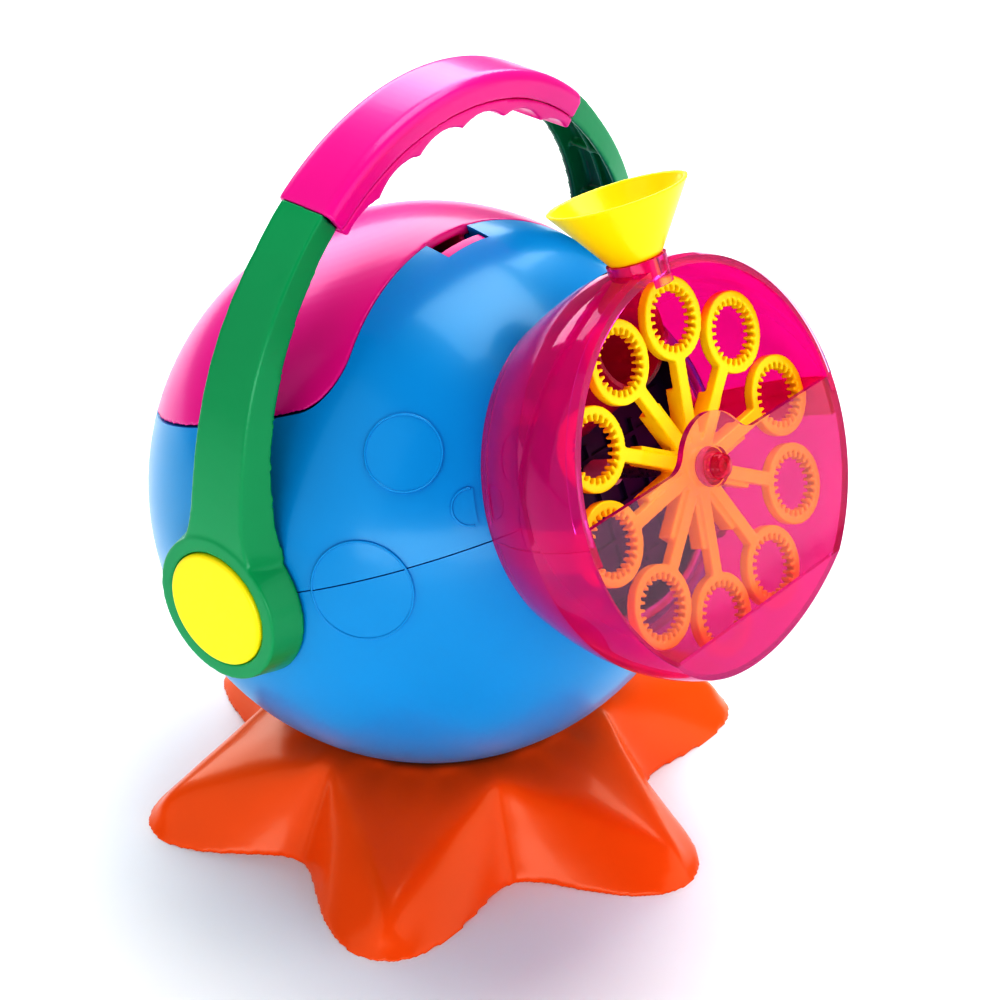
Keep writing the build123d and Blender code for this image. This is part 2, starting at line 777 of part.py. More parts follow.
def make_wheel_gear():
    wheel_phase_angle = gear_phases()[0]
    body = gear(gear_teeth, 1.0, 3.8, (0, 0), wheel_phase_angle)
    body += rod_y(wheel_gear_hub_radius, -8.5, 1.0)
    return head_place * (body - rod_y(axle_radius, -20, 20))


def plate_outline():
    """Outline around the posts, the motor and the axles."""
    circles = [Pos(x, z) * Circle(4.5) for x, z in post_places()]
    circles += [Pos(x, z) * Circle(4.5) for x, z in idler_places()]
    edges = [edge for circle in circles for edge in circle.edges()]
    return make_hull(edges)


def make_gear_plate(y0, screw_hole):
    plate = Pos(0, y0 + gear_plate_thickness, 0) * extrude(Plane.XZ * plate_outline(), gear_plate_thickness)
    for x, z in post_places():
        plate -= rod_y(screw_hole, -40, 40, x, z)
    for place in idler_places():
        plate -= rod_y(pin_radius, -40, 40, *place)
    plate -= rod_y(axle_radius + running_gap, -40, 40)
    return plate


def make_front_gear_plate():
    plate = make_gear_plate(front_plate_y, screw_radius + 0.1)
    plate -= rod_y(3.2, -40, 40, 0, motor_z)
    return head_place * plate


def make_rear_gear_plate():
    """Rear plate with four pillars that reach the front plate."""
    plate = make_gear_plate(rear_plate_y, screw_radius + 0.1)
    for x, z in post_places():
        pillar = rod_y(3.0, front_plate_y + gear_plate_thickness, rear_plate_y, x, z)
        plate += pillar - rod_y(screw_radius + 0.1, -40, 40, x, z)
    return head_place * plate


def make_gear_pins():
    first, second = idler_places()
    back = rear_plate_y + gear_plate_thickness
    pins = [rod_y(pin_radius, front_plate_y, back, x, z) for x, z in (first, second)]
    return head_place * rod_group(pins)


def make_gear_screws():
    shape = None
    for x, z in post_places():
        screw = screw_y(rear_plate_y + gear_plate_thickness, -23, x, z)
        shape = screw if shape is None else shape + screw
    return head_place * shape


def make_motor():
    can = rod_y(motor_radius, -40.4, front_plate_y, 0, motor_z)
    can &= block(-7.7, 7.7, -60, 0, motor_z - 12, motor_z + 12)
    can += rod_y(3.0, front_plate_y, front_plate_y + gear_plate_thickness, 0, motor_z)
    return head_place * (can - rod_y(pin_radius + running_gap, -60, 0, 0, motor_z))


def make_motor_shaft():
    return head_place * rod_y(pin_radius, -56.0, -2.6, 0, motor_z)


def make_motor_pinion():
    pinion = gear(pinion_teeth, -8.2, -3.0, (0, motor_z), gear_phases()[3])
    return head_place * (pinion - rod_y(pin_radius, -20, 20, 0, motor_z))


def make_drum_screws():
    shape = None
    for x, z in drum_screw_places():
        screw = screw_y(bulkhead_back, -73.5, x, z)
        shape = screw if shape is None else shape + screw
    return head_place * shape


# ---- batteries ----
def box_half():
    return 2 * cell_pitch + wall - 0.4


def box_front():
    return box_y - cell_radius - wall - 0.3


def box_back():
    return box_y + cell_radius + wall + 0.3


def cell_places():
    return [(cell_pitch * (step - 1.5), box_y) for step in range(4)]


def make_battery_box():
    bottom = box_top - cell_length - 9
    box = block(-box_half(), box_half(), box_front(), box_back(), bottom, box_top)
    for x, y in cell_places():
        box -= rod_z(cell_radius + 0.2, bottom + wall, box_top + 1, x, y)
    half = box_half() - 1.2
    box -= block(-half, half, box_front() + 1.2, box_back() - 1.2, box_top - 3.2, box_top + 1)
    for middle in (-cell_pitch, cell_pitch):
        box -= block(middle - 11.3, middle + 11.3, box_y - 3.3, box_y + 3.3, box_top - 3.9, box_top)
    flange = block(-box_half() - 3, box_half() + 3, box_front() - 3, box_back() + 3, 39.4, 41.6)
    flange -= block(-box_half(), box_half(), box_front(), box_back(), 30, 50)
    box += flange & Sphere(ball_radius - shell_wall - 0.5)
    box -= rod_z(screw_radius, box_top - 12, box_top, 0, box_front() + 4.0)
    return head_place * box


def cell(flipped):
    """One cell standing on z = 0; a flipped one stands on its nub."""
    can_length = cell_length - 1.4
    if flipped:
        return rod_z(cell_radius, 1.4, cell_length) + rod_z(2.7, 0, 1.4)
    return rod_z(cell_radius, 0, can_length) + rod_z(2.7, can_length, cell_length)


def make_batteries():
    low = box_top - cell_length - 4.6
    cells = [Pos(x, y, low) * cell(step % 2) for step, (x, y) in enumerate(cell_places())]
    return head_place * rod_group(cells)


def make_contact_springs():
    """Conical contact springs at the bottom of each well."""
    low = box_top - cell_length - 9 + wall
    shape = None
    for x, y in cell_places():
        coil = Helix(pitch=1.1, height=1.7, radius=3.4, cone_angle=12)
        start = Plane(origin=coil @ 0, z_dir=coil % 0)
        wire = Pos(x, y, low + 0.35) * sweep(start * Circle(0.25), path=coil)
        shape = wire if shape is None else shape + wire
    return head_place * shape


def make_battery_cover():
    x1 = box_half() - 1.4
    cover = block(-x1, x1, box_front() + 1.4, box_back() - 1.4, box_top - 3.1, box_top - 0.6)
    for step in (-1, 1):
        middle = step * cell_pitch
        strip = block(middle - 11, middle + 11, box_y - 3, box_y + 3, box_top - 3.6, box_top - 3.1)
        cover += strip
    cover -= rod_z(screw_radius + 0.2, 0, 80, 0, box_front() + 4.0)
    cover -= rod_z(screw_head_radius + 0.2, box_top - 1.8, 80, 0, box_front() + 4.0)
    return head_place * cover


def make_cover_screw():
    y = box_front() + 4.0
    screw = rod_z(screw_radius, box_top - 11, box_top - 1.8, 0, y)
    screw += rod_z(screw_head_radius, box_top - 1.8, box_top - 0.8, 0, y)
    return head_place * screw


# ---- power switch ----
def make_switch_body():
    body = block(-11, 11, 62, 71.0, -26.5, -17.5)
    body -= block(-9.4, 9.4, 65.5, 72, -24.6, -19.4)
    return head_place * (body & Sphere(ball_radius - shell_wall - 0.2))


def make_switch_slider():
    foot = block(-6.6, -0.6, 66.0, 70.5, -24.2, -19.8)
    knob = block(-5.6, -1.6, 70, 79.6, -24.1, -19.9)
    for step in range(3):
        x = -4.9 + step * 1.3
        knob -= block(x - 0.25, x + 0.25, 79.0, 80, -25, -19)
    return head_place * (foot + knob)


# ---- bail ----
def arm_half_widths(height):
    """Half widths of the arm's outer face and of its open inner side at a height."""
    outer = 7.5 - 0.028 * (height - 80)
    inner = 9.4 - 0.077 * (height - 80)
    root = (max(0.0, 30.0 - height) / 14.0) ** 2
    return outer + 4.0 * root, inner + 1.8 * root


def arm_section(angle, inset=0.0, opened=0.0):
    """Trapezoid across the arm at an angle up its curve; opened extends it towards the head."""
    root = max(0.0, 10.0 - angle) / 22.0
    outer_radius = arm_outer_radius + 3.4 * root ** 2
    depth = outer_radius - arm_inner_radius
    height = arm_curve_z + (outer_radius - depth / 2) * sin(radians(angle))
    outer, inner = arm_half_widths(height)
    flare = (inner - outer) / depth
    near = outer + flare * inset - inset
    wide = inner + flare * opened - inset
    r0, r1 = outer_radius - inset, arm_inner_radius - opened
    direction = (cos(radians(angle)), 0, sin(radians(angle)))
    along = (-sin(radians(angle)), 0, cos(radians(angle)))
    plane = Plane(origin=(arm_curve_x, 0, arm_curve_z), x_dir=direction, z_dir=along)
    return plane * make_face(Polyline((r0, -near), (r0, near), (r1, wide), (r1, -wide), close=True))


def arm_rod(radius):
    """Cylinder along Y about the centre of the arm's curve."""
    return rod_y(radius, -40, 40, arm_curve_x, arm_curve_z)


def grip_wedge(half_angle, radius=140.0):
    """Wedge of the bail within half_angle of the top, about the grip's centre."""
    x = radius * sin(radians(half_angle))
    z = radius * cos(radians(half_angle))
    face = make_face(Polyline((0, 0), (x, z), (0, radius * 1.2), (-x, z), close=True))
    return Pos(0, 60, grip_centre_z) * extrude(Plane.XZ * face, 120)


def grip_band(radius_out, radius_in, half_width):
    ring = Circle(radius_out) - Circle(radius_in)
    return Pos(0, half_width, grip_centre_z) * extrude(Plane.XZ * ring, 2 * half_width)


def make_arm():
    """Right arm: a ribbed channel open towards the head, with a round hub."""
    body = loft([arm_section(angle) for angle in (-12, -6, 0, 8, 20, 32, 44, arm_end_angle)])
    levels = (0, 8, 20, 32, 44, arm_end_angle)
    hollow = loft([arm_section(angle, arm_wall, 3.0) for angle in levels])
    ribs = block(0, 100, -rib_half, rib_half, 20, 130)
    for step in range(4):
        rib = block(60, 130, -20, 20, -rib_half, rib_half)
        ribs += Pos(arm_curve_x, 0, arm_curve_z) * Rot(0, -rib_start - rib_pitch * step, 0) * rib
    ribs += grip_wedge(grip_half_angle + 1.6) - grip_wedge(grip_half_angle)
    arm = body - hollow
    arm += (body - arm_rod(arm_inner_radius + rib_recess)) & ribs
    arm -= grip_wedge(grip_half_angle)
    zone = grip_wedge(grip_half_angle + 0.8) - grip_wedge(6)
    tongue = grip_band(77.6, grip_parting + 0.3, 5.0) & zone & block(0, far, -20, 20, 0, far)
    arm += tongue
    cone = [(60, hub_base_radius + 2.2), (76.4, hub_base_radius), (hub_face, hub_radius)]
    hub = turned_x([(60, 0)] + cone + [(hub_face, 0)])
    arm += hub
    arm -= Sphere(ball_radius + part_gap)
    arm -= rod_x(cap_radius + 0.1, 85.4, 95)
    arm -= rod_x(8.5, 83.6, 95)
    arm -= rod_x(stud_radius + running_gap, 60, 95)
    for angle in (-grip_screw_angle(), grip_screw_angle()):
        arm -= grip_centre_place(angle) * rod_z(screw_radius, 60, 76, 0, 0)
    return arm


def grip_screw_angle():
    return 1.5 * finger_pitch


def grip_centre_place(angle):
    """Frame at the grip's centre whose Z axis points along the grip's radius."""
    return Pos(0, 0, grip_centre_z) * Rot(0, angle, 0)


def make_grip_outer():
    grip = grip_band(grip_radius, grip_parting, grip_half_width) & grip_wedge(grip_half_angle)
    rim_length = 2 * radians(grip_half_angle) * grip_radius
    rims = [edge for edge in grip.edges() if abs(edge.length - rim_length) < 0.5]
    grip = fillet(rims, 3.2)
    grip -= grip_band(grip_radius - 2.2, 60, grip_half_width - 2.2)
    return bail_place * grip


def make_grip_inner():
    grip = grip_band(grip_parting - 0.05, 68.0, grip_half_width) & grip_wedge(grip_half_angle)
    for step in range(-3, 3):
        angle = (step + 0.5) * finger_pitch
        scoop = Pos(0, 30, 55.8) * Rot(90, 0, 0) * Cylinder(14.5, 60, align=BOTTOM)
        grip -= grip_centre_place(angle) * scoop
    grip -= grip_band(80, 72.0, grip_half_width - 2.2)
    for angle in (-grip_screw_angle(), grip_screw_angle()):
        grip -= grip_centre_place(angle) * rod_z(screw_radius + 0.2, 60, 80)
        grip -= grip_centre_place(angle) * rod_z(screw_head_radius + 0.2, 60, 70.9)
    return bail_place * grip


def make_grip_screws():
    shape = None
    for angle in (-grip_screw_angle(), grip_screw_angle()):
        upright = rod_z(screw_radius, 70.9, 75.8) + rod_z(screw_head_radius, 69.6, 70.9)
        screw = grip_centre_place(angle) * upright
        shape = screw if shape is None else shape + screw
    return bail_place * shape


def make_cap():
    """Round cap that snaps into the hub over the pivot screw."""
    disc = rod_x(cap_radius, 85.4, cap_face)
    rim = disc.edges().sort_by(Axis.X)[-1]
    return fillet(rim, 0.9) - rod_x(8.0, 85, 86.5)


def make_pivot_stud():
    stud = rod_x(10.0, 71.6, 73.9) + rod_x(stud_radius, 73.9, 84.0)
    return stud - rod_x(screw_radius, 74, 90)


def make_pivot_washer():
    return rod_x(7.6, 84.0, 84.7) - rod_x(screw_radius + 0.1, 80, 90)


def make_pivot_screw():
    return rod_x(screw_radius, 74.5, 84.7) + rod_x(3.0, 84.7, 86.0)


def make_funnel():
    """Cone and spout that stand in the drum cover's filler collar."""
    y = funnel_y
    depth = funnel_rim_z - funnel_seat_z
    outer = Pos(0, y, funnel_seat_z) * Cone(7.0, funnel_rim_radius, depth, align=BOTTOM)
    ledge = funnel_seat_z + 1.4
    inner = Pos(0, y, ledge) * Cone(6.4, funnel_rim_radius - 1.3, funnel_rim_z - ledge, align=BOTTOM)
    funnel = outer + rod_z(spout_radius, 52.2, funnel_seat_z + 1, 0, y)
    funnel -= inner
    funnel -= rod_z(3.9, 50, ledge, 0, y)
    return head_place * funnel


def paired(shape):
    """A bail-pivot piece and its twin, as one group."""
    return shape + mirrored(shape)


def make_first_idler_gear():
    return make_idler(idler_places()[0], gear_phases()[2], -7.6, 0.0, rear_plate_y - 0.3)


def make_second_idler_gear():
    return make_idler(idler_places()[1], gear_phases()[1], -3.6, 4.4, rear_plate_y - 0.3)


def make_right_arm():
    return bail_place * make_arm()


def make_left_arm():
    return bail_place * mirrored(make_arm())


def make_right_cap():
    return bail_place * make_cap()


def make_left_cap():
    return bail_place * mirrored(make_cap())


def make_pivot_studs():
    return head_place * paired(make_pivot_stud())


def make_pivot_washers():
    return head_place * paired(make_pivot_washer())


def make_pivot_screws():
    return head_place * paired(make_pivot_screw())


# ---- write the pieces: each one's function makes the node of the same name ----
makers = [
    make_base_skirt, make_base_plate, make_base_screws, make_head_screws,
    make_lower_shell, make_upper_shell, make_shell_screws,
    make_hood, make_hood_hinge_pin, make_hood_latch, make_latch_spring,
    make_drum_cover, make_solution_tank, make_drum_screws,
    make_wand_wheel, make_wheel_axle, make_front_bush, make_rear_bush,
    make_bulkhead, make_air_nozzle, make_fan_housing, make_fan_impeller,
    make_motor, make_motor_shaft, make_motor_pinion,
    make_first_idler_gear, make_second_idler_gear, make_wheel_gear, make_gear_pins,
    make_front_gear_plate, make_rear_gear_plate, make_gear_screws,
    make_battery_box, make_batteries, make_contact_springs, make_battery_cover, make_cover_screw,
    make_switch_body, make_switch_slider,
    make_right_arm, make_left_arm, make_grip_outer, make_grip_inner, make_grip_screws,
    make_right_cap, make_left_cap, make_pivot_studs, make_pivot_washers, make_pivot_screws,
    make_funnel,
]

for make in makers:
    name = make.__name__.removeprefix("make_")
    export_step(make(), f"parts/{name}.step")
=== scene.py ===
import json
import math

import bmesh
import bpy
from mathutils import Matrix, Vector


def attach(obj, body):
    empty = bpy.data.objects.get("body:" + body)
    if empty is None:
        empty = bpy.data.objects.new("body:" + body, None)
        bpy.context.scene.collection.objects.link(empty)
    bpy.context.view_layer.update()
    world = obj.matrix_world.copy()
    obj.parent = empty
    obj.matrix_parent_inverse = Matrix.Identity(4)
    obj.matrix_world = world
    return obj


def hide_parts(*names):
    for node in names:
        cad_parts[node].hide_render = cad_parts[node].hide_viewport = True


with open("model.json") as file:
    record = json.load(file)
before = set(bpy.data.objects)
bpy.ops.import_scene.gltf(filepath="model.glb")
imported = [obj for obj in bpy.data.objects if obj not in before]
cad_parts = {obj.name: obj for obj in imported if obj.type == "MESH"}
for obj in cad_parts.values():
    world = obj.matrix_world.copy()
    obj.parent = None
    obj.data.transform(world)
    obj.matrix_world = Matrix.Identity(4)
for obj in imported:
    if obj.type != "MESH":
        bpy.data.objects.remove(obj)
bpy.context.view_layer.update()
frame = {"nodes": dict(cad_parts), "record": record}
nodes = frame["nodes"]

MM = 0.001
BALL_CENTRE = (0, 0.0025, 0.097)
LEAN = math.radians(-22.5)

# The ball's own frame, leaned back about its centre; its -Y runs out along the drum's axis.
HEAD = Matrix.Translation(BALL_CENTRE) @ Matrix.Rotation(LEAN, 4, "X")

# Which body each CAD node moves with, and which material slot it has.
BODY_OF = {
    node: body
    for body, members in frame["record"]["behaviour"]["bodies"].items()
    for node in members
}
SLOT_OF = {part["node"]: part["material_slot"] for part in frame["record"]["subparts"]}


# ---- material helpers ----
def node_tree(name):
    """A new node material, with its tree and its main shader."""
    mat = bpy.data.materials.new(name)
    mat.use_nodes = True
    tree = mat.node_tree
    shader = tree.nodes["Principled BSDF"]
    return mat, tree, shader


def add(tree, kind, **values):
    """A new node, with values set on its sockets or else on the node itself."""
    made = tree.nodes.new(kind)
    for key, value in values.items():
        if key in made.inputs:
            made.inputs[key].default_value = value
        else:
            setattr(made, key, value)
    return made


def noise_pattern(tree, scale, detail=3.0):
    """A noise value fixed to the piece; scale is in patches a metre."""
    place = add(tree, "ShaderNodeTexCoord")
    made = add(tree, "ShaderNodeTexNoise", Scale=scale, Detail=detail, Roughness=0.5)
    tree.links.new(place.outputs["Object"], made.inputs["Vector"])
    return made.outputs["Fac"]


def mix_colours(tree, factor, low, high):
    """A blend between two colours over the middle of a noise value's range."""
    ramp = add(tree, "ShaderNodeValToRGB")
    first, last = ramp.color_ramp.elements
    first.position = 0.35
    first.color = (*low, 1)
    last.position = 0.65
    last.color = (*high, 1)
    tree.links.new(factor, ramp.inputs["Fac"])
    return ramp.outputs["Color"]


def map_range(tree, value, low, high, start=0.3, end=0.7):
    """The value's range from start to end, stretched to run from low to high."""
    made = add(tree, "ShaderNodeMapRange")
    made.inputs["From Min"].default_value = start
    made.inputs["From Max"].default_value = end
    made.inputs["To Min"].default_value = low
    made.inputs["To Max"].default_value = high
    tree.links.new(value, made.inputs["Value"])
    return made.outputs["Result"]


def set_colour(tree, shader, factor, low, high):
    """Base colour that wanders between two close shades."""
    tree.links.new(mix_colours(tree, factor, low, high), shader.inputs["Base Color"])


def set_roughness(tree, shader, factor, low, high):
    """Gloss that wanders between two close values."""
    tree.links.new(map_range(tree, factor, low, high), shader.inputs["Roughness"])


def set_bumps(tree, shader, height, strength, distance):
    """Fine relief, with its depth in metres."""
    bump = add(tree, "ShaderNodeBump", Strength=strength, Distance=distance)
    tree.links.new(height, bump.inputs["Height"])
    tree.links.new(bump.outputs["Normal"], shader.inputs["Normal"])


def blend_shaders(tree, factor, first, second, output):
    """Send two shaders, mixed by a factor, to the tree's output node."""
    mixed = add(tree, "ShaderNodeMixShader")
    tree.links.new(factor, mixed.inputs["Fac"])
    tree.links.new(first, mixed.inputs[1])
    tree.links.new(second, mixed.inputs[2])
    tree.links.new(mixed.outputs["Shader"], tree.nodes[output].inputs["Surface"])


def scaled(colour, factor):
    return tuple(min(1.0, channel * factor) for channel in colour)


# ---- materials ----
def gloss_plastic(name, colour, rough=0.3):
    """Moulded gloss plastic: faint colour drift, worn gloss and a very fine ripple."""
    mat, tree, shader = node_tree(name)
    drift = noise_pattern(tree, 16.0)
    set_colour(tree, shader, drift, scaled(colour, 0.93), colour)
    scuffs = noise_pattern(tree, 45.0, 1.0)
    set_roughness(tree, shader, scuffs, rough - 0.02, rough + 0.02)
    ripple = noise_pattern(tree, 130.0, 1.0)
    set_bumps(tree, shader, ripple, strength=0.05, distance=0.2 * MM)
    shader.inputs["Specular IOR Level"].default_value = 0.45
    shader.inputs["Coat Weight"].default_value = 0.25
    shader.inputs["Coat Roughness"].default_value = 0.12
    shader.inputs["IOR"].default_value = 1.5
    return mat


def grained_plastic(name, colour, rough=0.45):
    """Moulded matte plastic with a fine spark-eroded grain."""
    mat, tree, shader = node_tree(name)
    drift = noise_pattern(tree, 30.0)
    set_colour(tree, shader, drift, scaled(colour, 0.85), scaled(colour, 1.08))
    grain = noise_pattern(tree, 2600.0, 4.0)
    set_roughness(tree, shader, grain, rough - 0.06, rough + 0.08)
    set_bumps(tree, shader, grain, strength=0.25, distance=0.15 * MM)
    return mat


def plated_steel(name, colour, rough):
    """Plated steel, a little darker and duller in patches."""
    mat, tree, shader = node_tree(name)
    drift = noise_pattern(tree, 120.0)
    set_colour(tree, shader, drift, scaled(colour, 0.85), colour)
    wear = noise_pattern(tree, 900.0, 4.0)
    set_roughness(tree, shader, wear, rough - 0.08, rough + 0.12)
    set_bumps(tree, shader, wear, strength=0.1, distance=0.1 * MM)
    shader.inputs["Metallic"].default_value = 1.0
    return mat


def facing_front(tree):
    """1 where a surface faces along the drum's axis, as its flat panel does, and 0 on its round walls,
    which carry painted shade.
    """
    shape = add(tree, "ShaderNodeNewGeometry")
    dot = add(tree, "ShaderNodeVectorMath", operation="DOT_PRODUCT")
    tree.links.new(shape.outputs["Normal"], dot.inputs[0])
    dot.inputs[1].default_value = HEAD.to_3x3() @ Vector((0, -1, 0))
    size = add(tree, "ShaderNodeMath", operation="ABSOLUTE")
    tree.links.new(dot.outputs["Value"], size.inputs[0])
    return map_range(tree, size.outputs["Value"], 0.0, 1.0, start=0.95, end=0.99)


def clear_plastic(name, shaded_wall_colour, panel_colour, rough=0.03):
    """Clear tinted plastic with flow marks and a trace of haze; lamps shine through it in its tint.

    The round walls are denser than the flat panel; their deeper, darker tint is painted shade, standing in
    for the shade on them and the longer path of light through them.
    """
    mat, tree, shader = node_tree(name)
    drift = noise_pattern(tree, 24.0)
    # Painted shade: the walls get a deeper, darker tint than the panel, by which way they face.
    walls = mix_colours(tree, drift, scaled(shaded_wall_colour, 0.95), shaded_wall_colour)
    panel = mix_colours(tree, drift, scaled(panel_colour, 0.97), panel_colour)
    both = add(tree, "ShaderNodeMix", data_type="RGBA")
    facing = facing_front(tree)
    tree.links.new(facing, both.inputs["Factor"])
    tree.links.new(walls, both.inputs["A"])
    tree.links.new(panel, both.inputs["B"])
    tint = both.outputs["Result"]
    tree.links.new(tint, shader.inputs["Base Color"])
    haze = noise_pattern(tree, 260.0, 4.0)
    set_roughness(tree, shader, haze, rough, rough + 0.05)
    flow = noise_pattern(tree, 55.0, 2.0)
    set_bumps(tree, shader, flow, strength=0.08, distance=0.3 * MM)
    clearness = map_range(tree, facing, 0.66, 0.96, start=0.0, end=1.0)
    tree.links.new(clearness, shader.inputs["Transmission Weight"])
    shader.inputs["IOR"].default_value = 1.4
    lamps_through = add(tree, "ShaderNodeBsdfTransparent")
    tree.links.new(tint, lamps_through.inputs["Color"])
    shadow_ray = add(tree, "ShaderNodeLightPath").outputs["Is Shadow Ray"]
    plastic, tinted_light = shader.outputs["BSDF"], lamps_through.outputs["BSDF"]
    blend_shaders(tree, shadow_ray, plastic, tinted_light, "Material Output")
    return mat


BLUE = gloss_plastic("blue_plastic", (0.0, 0.34, 0.72))
HUB_MAGENTA = clear_plastic("clear_magenta_hub", (0.85, 0.04, 0.16), (0.85, 0.04, 0.16))
BY_SLOT = {
    "blue_plastic": BLUE,
    "pink_plastic": gloss_plastic("pink_plastic", (0.84, 0.012, 0.34)),
    "green_plastic": gloss_plastic("green_plastic", (0.0, 0.36, 0.135)),
    "yellow_plastic": gloss_plastic("yellow_plastic", (1.0, 0.84, 0.0)),
    "orange_plastic": gloss_plastic("orange_plastic", (0.95, 0.13, 0.0)),
    # The first tint, for the round walls, is painted shade; the second, paler one is the flat panel's.
    "clear_magenta": clear_plastic("clear_magenta", (0.86, 0.02, 0.42), (0.93, 0.60, 0.78)),
    "navy_plastic": gloss_plastic("navy_plastic", (0.035, 0.03, 0.13), 0.25),
    "dark_plastic": grained_plastic("dark_plastic", (0.03, 0.03, 0.035)),
    "white_plastic": grained_plastic("white_plastic", (0.72, 0.72, 0.68)),
    "cell_wrap": gloss_plastic("cell_wrap", (0.03, 0.04, 0.06)),
    "bright_steel": plated_steel("bright_steel", (0.62, 0.63, 0.65), 0.28),
    "motor_steel": plated_steel("motor_steel", (0.5, 0.5, 0.52), 0.35),
}
for node, slot in SLOT_OF.items():
    materials = nodes[node].data.materials
    materials.clear()
    materials.append(BY_SLOT[slot])


# ---- meshes ----
def put_in_scene(name, data):
    """A new object in the scene's own collection."""
    made = bpy.data.objects.new(name, data)
    bpy.context.scene.collection.objects.link(made)
    return made


def to_mesh(bm, name):
    mesh = bpy.data.meshes.new(name)
    bm.to_mesh(mesh)
    bm.free()
    return mesh


def to_round_mesh(bm, name):
    """A smooth-shaded mesh with every face turned outward."""
    for face in bm.faces:
        face.smooth = True
    bmesh.ops.recalc_face_normals(bm, faces=bm.faces)
    return to_mesh(bm, name)


def circle(steps):
    """Angles of equal steps round a circle."""
    return [2 * math.pi * step / steps for step in range(steps)]


# ---- rounded pieces ----
# Mouldings shown with rounded edges: node, voxel in mm, smoothing passes.
ROUNDED = (
    ("left_arm", 0.5, 6),
    ("left_cap", 0.4, 6),
    ("right_arm", 0.5, 6),
    ("right_cap", 0.4, 6),
    ("base_skirt", 0.9, 7),
    ("grip_outer", 0.5, 6),
    ("grip_inner", 0.5, 6),
    ("funnel", 0.35, 3),
    ("wand_wheel", 0.33, 3),
    ("hood", 0.6, 3),
)


def softened(name, voxel, passes):
    """A copy of a moulded node with its hard edges rounded, as a real moulding has them."""
    source = nodes[name]
    piece = put_in_scene("soft_" + name, source.data.copy())
    piece.matrix_world = source.matrix_world
    remesh = piece.modifiers.new("remesh", "REMESH")
    remesh.mode = "VOXEL"
    remesh.voxel_size = voxel
    remesh.use_smooth_shade = True
    smooth = piece.modifiers.new("smooth", "SMOOTH")
    smooth.factor = 0.5
    smooth.iterations = passes
    shaped = piece.evaluated_get(bpy.context.evaluated_depsgraph_get())
    solid = bpy.data.meshes.new_from_object(shaped)
    piece.modifiers.clear()
    piece.data = solid
    piece.data.materials.clear()
    piece.data.materials.append(source.data.materials[0])
    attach(piece, BODY_OF[name])
    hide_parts(name)


for node, voxel, passes in ROUNDED:
    softened(node, voxel * MM, passes)


# ---- hub bush ----
def turned_mesh(name, profile, steps=64):
    """Closed lathe shape about its own Z axis from (radius, height) points; the ends close on the axis."""
    bm = bmesh.new()
    rings = []
    for radius, height in profile:
        if radius == 0:
            rings.append([bm.verts.new((0, 0, height))])
            continue
        points = [(radius * math.cos(t), radius * math.sin(t), height) for t in circle(steps)]
        rings.append([bm.verts.new(point) for point in points])
    for low, high in zip(rings, rings[1:]):
        for step in range(steps):
            corners = [low[step % len(low)], low[(step + 1) % len(low)]]
            corners += [high[(step + 1) % len(high)], high[step % len(high)]]
            bm.faces.new(list(dict.fromkeys(corners)))
    return to_round_mesh(bm, name)


def make_hub_bush():
    """The clear bush in the panel, closed over the end of the axle; heights are from the ball's centre."""
    flange, wall, bore = 5.0 * MM, 3.3 * MM, 2.3 * MM
    back, flange_front = 102.2 * MM, 103.0 * MM
    bore_end, front = 108.6 * MM, 109.3 * MM
    edge = 0.7 * MM
    profile = [
        (0, bore_end),
        (bore, bore_end),
        (bore, back),
        (flange, back),
        (flange, flange_front),
        (wall, flange_front),
        (wall, front - edge),
        (wall - edge, front),
        (0, front),
    ]
    piece = put_in_scene("hub_bush", turned_mesh("hub_bush", profile))
    piece.matrix_world = HEAD @ Matrix.Rotation(math.radians(90), 4, "X")
    piece.data.materials.append(HUB_MAGENTA)
    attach(piece, "root")
    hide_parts("front_bush")


make_hub_bush()


# ---- spot rims ----
BALL_RADIUS = 80.45 * MM
DRUM_RADIUS = 48.5 * MM
BEAD_RADIUS = 0.35 * MM
RIM_STEPS = 96
BEAD_STEPS = 10

# How far inside a spot's edge the bead's centre line lies, in mm.
BEAD_INSET = 0.15

# Spots on one half of the ball, with mirror twins on the other: direction from the centre, radius in mm.
SPOTS = (
    ((0.669, -0.653, 0.354), 10.2),
    ((0.876, -0.480, -0.038), 13.8),
    ((0.60, -0.80, 0.13), 5.0),
)


def rim_rings(bm, axis, radius):
    """Rings of the bead's cross-section round one spot; None where the drum covers the ball."""
    across = axis.orthogonal().normalized()
    spread = math.asin((radius - BEAD_INSET) * MM / BALL_RADIUS)
    rings = []
    for turn in circle(RIM_STEPS):
        outward = Matrix.Rotation(turn, 3, axis) @ across
        centre = (axis * math.cos(spread) + outward * math.sin(spread)) * BALL_RADIUS
        if math.hypot(centre.x, centre.z) < DRUM_RADIUS:
            rings.append(None)
            continue
        up = centre.normalized()
        sideways = up.cross(axis.cross(outward).normalized())
        offsets = [up * math.cos(t) + sideways * math.sin(t) for t in circle(BEAD_STEPS)]
        rings.append([bm.verts.new(centre + BEAD_RADIUS * offset) for offset in offsets])
    return rings


def join_rings(bm, rings):
    """Skin a closed run of rings, with a flat end wherever a ring is missing."""
    for ring, other in zip(rings, rings[1:] + rings[:1]):
        if ring and other:
            for t in range(BEAD_STEPS):
                after = (t + 1) % BEAD_STEPS
                bm.faces.new((ring[t], ring[after], other[after], other[t]))
        elif ring or other:
            bm.faces.new(ring or other)


def make_spot_rims():
    """A fine raised bead round each of the spots on the ball."""
    bm = bmesh.new()
    for side in (1, -1):
        for (x, y, z), radius in SPOTS:
            axis = Vector((side * x, y, z)).normalized()
            join_rings(bm, rim_rings(bm, axis, radius))
    piece = put_in_scene("spot_rims", to_round_mesh(bm, "spot_rims"))
    piece.matrix_world = HEAD
    piece.data.materials.append(BLUE)
    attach(piece, "root")


make_spot_rims()


# ---- stage, light and camera ----
FLOOR_HALF = 1.5
SURROUND_LIGHT = 0.2
WHITE = (1.0, 1.0, 1.0, 1)

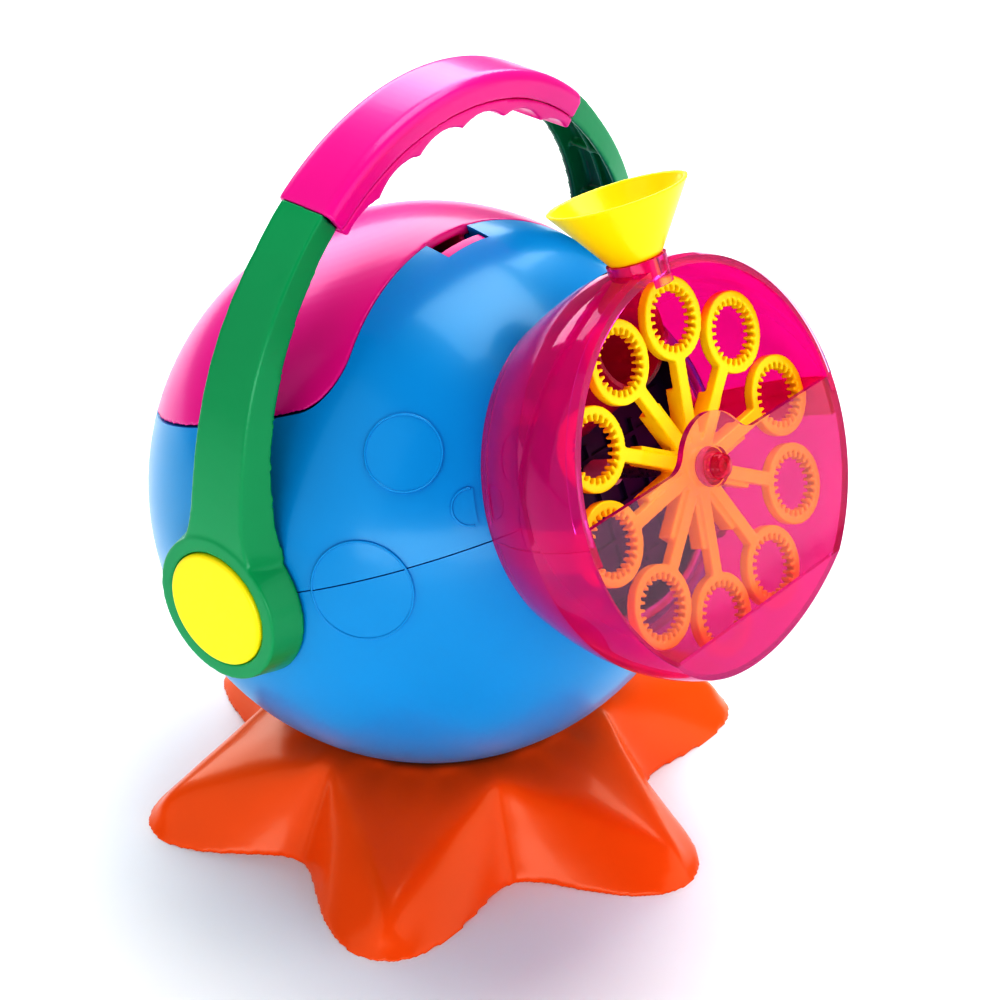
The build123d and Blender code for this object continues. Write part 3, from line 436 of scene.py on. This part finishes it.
# Lamps: name, place, aimed at, width and height, watts.
LAMPS = (
    ("key", (0.48, -0.04, 1.31), (0, 0, 0.11), (0.95, 0.95), 8.0),
    ("back", (0.9, 1.05, 1.0), (0, 0, 0.1), (2.0, 0.9), 15.0),
    ("left", (-1.4, 0.3, 0.9), (0, 0, 0.11), (2.0, 2.0), 5.5),
    ("front", (0.6, -1.4, 0.6), (0, 0, 0.11), (1.6, 1.2), 4.5),
    ("fill", (-0.95, -0.85, 0.2), (0, 0, 0.03), (1.4, 0.3), 3.5),
)

CAMERA_PLACE = (-0.5207, -0.4500, 0.4952)
CAMERA_RIGHT = (0.6340, -0.7733, 0.0)
CAMERA_BACK = (-0.6671, -0.5470, 0.5057)
SENSOR_WIDTH = 36.0
LENS = 100.48


def make_floor():
    """A plain pale sheet of paper under the piece."""
    bm = bmesh.new()
    bmesh.ops.create_grid(bm, x_segments=1, y_segments=1, size=FLOOR_HALF)
    floor = put_in_scene("floor", to_mesh(bm, "floor"))
    mat, tree, shader = node_tree("floor_paper")
    drift = noise_pattern(tree, 3.0)
    set_colour(tree, shader, drift, (0.93, 0.93, 0.93), (0.95, 0.95, 0.95))
    shader.inputs["Roughness"].default_value = 0.9
    floor.data.materials.append(mat)


def area_light(name, place, aim, size, power):
    data = bpy.data.lights.new(name, "AREA")
    data.shape = "RECTANGLE"
    data.size, data.size_y = size
    data.energy = power
    lamp = put_in_scene(name, data)
    lamp.location = place
    towards = Vector(aim) - Vector(place)
    lamp.rotation_euler = towards.to_track_quat("-Z", "Y").to_euler()


def make_world():
    """Dim white surroundings that look plain white behind the floor."""
    world = bpy.data.worlds.new("studio")
    bpy.context.scene.world = world
    world.use_nodes = True
    tree = world.node_tree
    dim = tree.nodes["Background"]
    dim.inputs["Color"].default_value = WHITE
    dim.inputs["Strength"].default_value = SURROUND_LIGHT
    plain = add(tree, "ShaderNodeBackground", Color=WHITE, Strength=1.0)
    camera_ray = add(tree, "ShaderNodeLightPath").outputs["Is Camera Ray"]
    dim_light, plain_white = dim.outputs["Background"], plain.outputs["Background"]
    blend_shaders(tree, camera_ray, dim_light, plain_white, "World Output")


def make_camera():
    """The photograph's viewpoint."""
    data = bpy.data.cameras.new("camera")
    data.sensor_width = SENSOR_WIDTH
    data.lens = LENS
    data.clip_start = 0.01
    camera = put_in_scene("camera", data)
    right = Vector(CAMERA_RIGHT).normalized()
    back = Vector(CAMERA_BACK).normalized()
    up = back.cross(right)
    turn = Matrix((right, up, back)).transposed().to_4x4()
    camera.matrix_world = Matrix.Translation(CAMERA_PLACE) @ turn
    bpy.context.scene.camera = camera


make_camera()
make_floor()
for lamp in LAMPS:
    area_light(*lamp)
make_world()
bpy.context.scene.view_settings.view_transform = "Standard"
bpy.context.scene.view_settings.look = "Very High Contrast"
